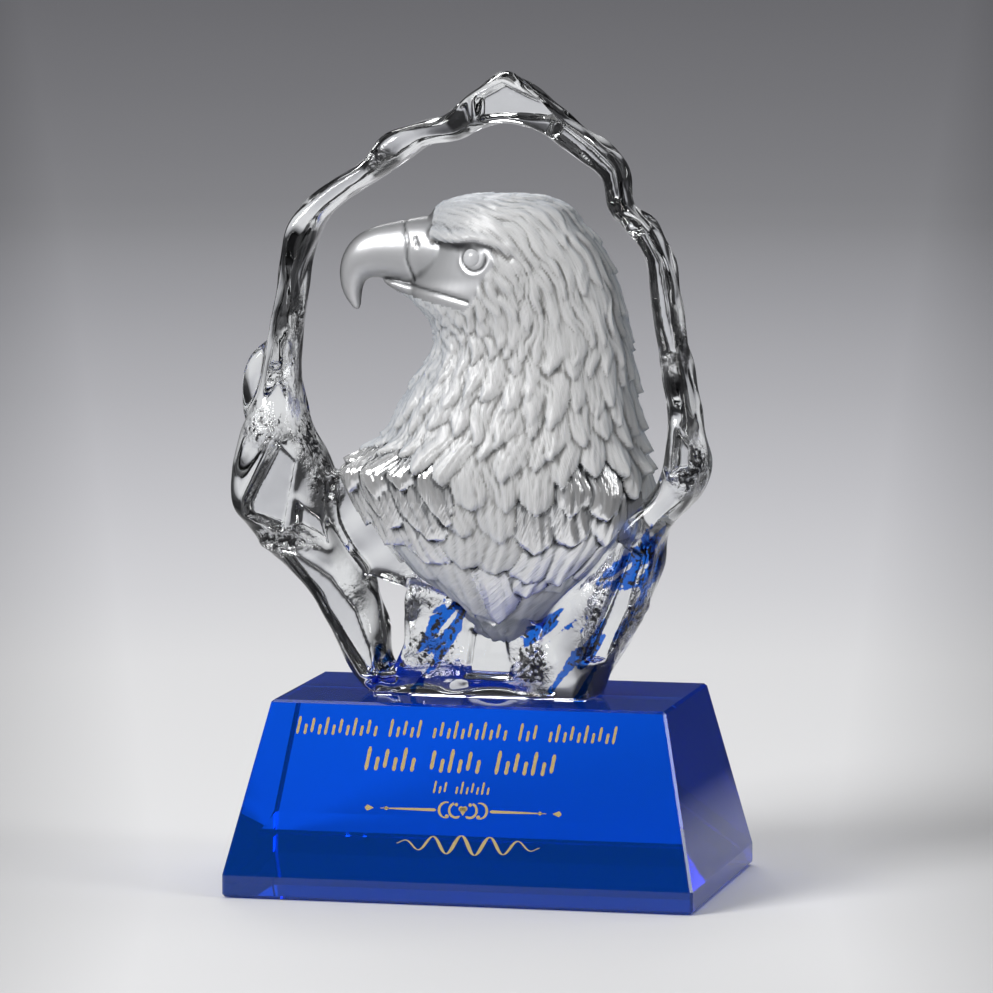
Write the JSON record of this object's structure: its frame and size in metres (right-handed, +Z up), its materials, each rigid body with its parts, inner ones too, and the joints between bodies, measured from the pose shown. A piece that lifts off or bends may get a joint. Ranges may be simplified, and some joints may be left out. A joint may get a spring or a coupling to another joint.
{
  "type": "crystal eagle trophy",
  "caption": "Desk trophy: a frosted eagle's bust in a free-form open rim of clear crystal, on a cobalt-blue crystal block.",
  "frame": {"origin": "middle of the block's underside, on the surface that it stands on", "axes": "+Z up, the front with the engraving faces -Y, the eagle looks along -X"},
  "size_m": [0.1581, 0.1, 0.2566],
  "materials": {
    "cobalt_crystal": "cobalt-blue crystal, polished, with gold-filled engraving on the front",
    "clear_crystal": "clear cast crystal, polished by fire, with small bubbles and flow marks",
    "frosted_crystal": "satin-frosted crystal on the bust's plumage",
    "gold_fill": "matt gold paint in shallow engraving"
  },
  "bodies": {
    "root": {"blue_base": "cobalt_crystal", "crystal_eagle": "clear_crystal"}
  },
  "joints": []
}
